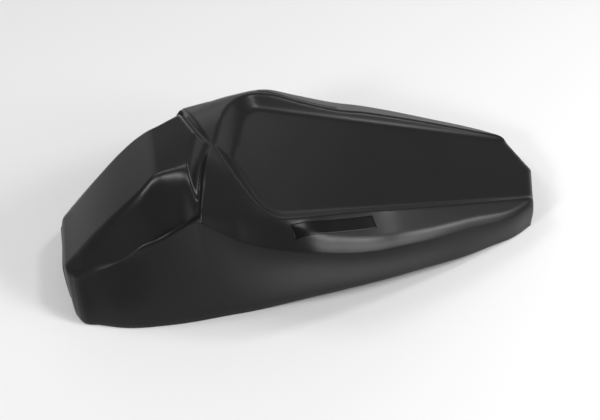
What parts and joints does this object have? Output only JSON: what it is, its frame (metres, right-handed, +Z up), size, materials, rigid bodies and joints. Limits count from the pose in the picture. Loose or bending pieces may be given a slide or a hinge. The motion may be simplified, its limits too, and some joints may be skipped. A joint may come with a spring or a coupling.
{
  "type": "seat cowl",
  "caption": "Hollow moulded cowl that covers the rear seat of a motorbike, with a raised faceted pad in front and a shallow tapering tray between rounded shoulders",
  "frame": {"origin": "middle of the cowl's outline in plan, on the plane that the lower rim rests on", "axes": "+X runs from the front edge to the tail, +Y to the cowl's right side as seen from its front, +Z up"},
  "size_m": [0.4157, 0.2026, 0.1314],
  "materials": {
    "black_shell": "satin"
  },
  "bodies": {
    "root": {"cowl_shell": "black_shell"}
  },
  "joints": []
}
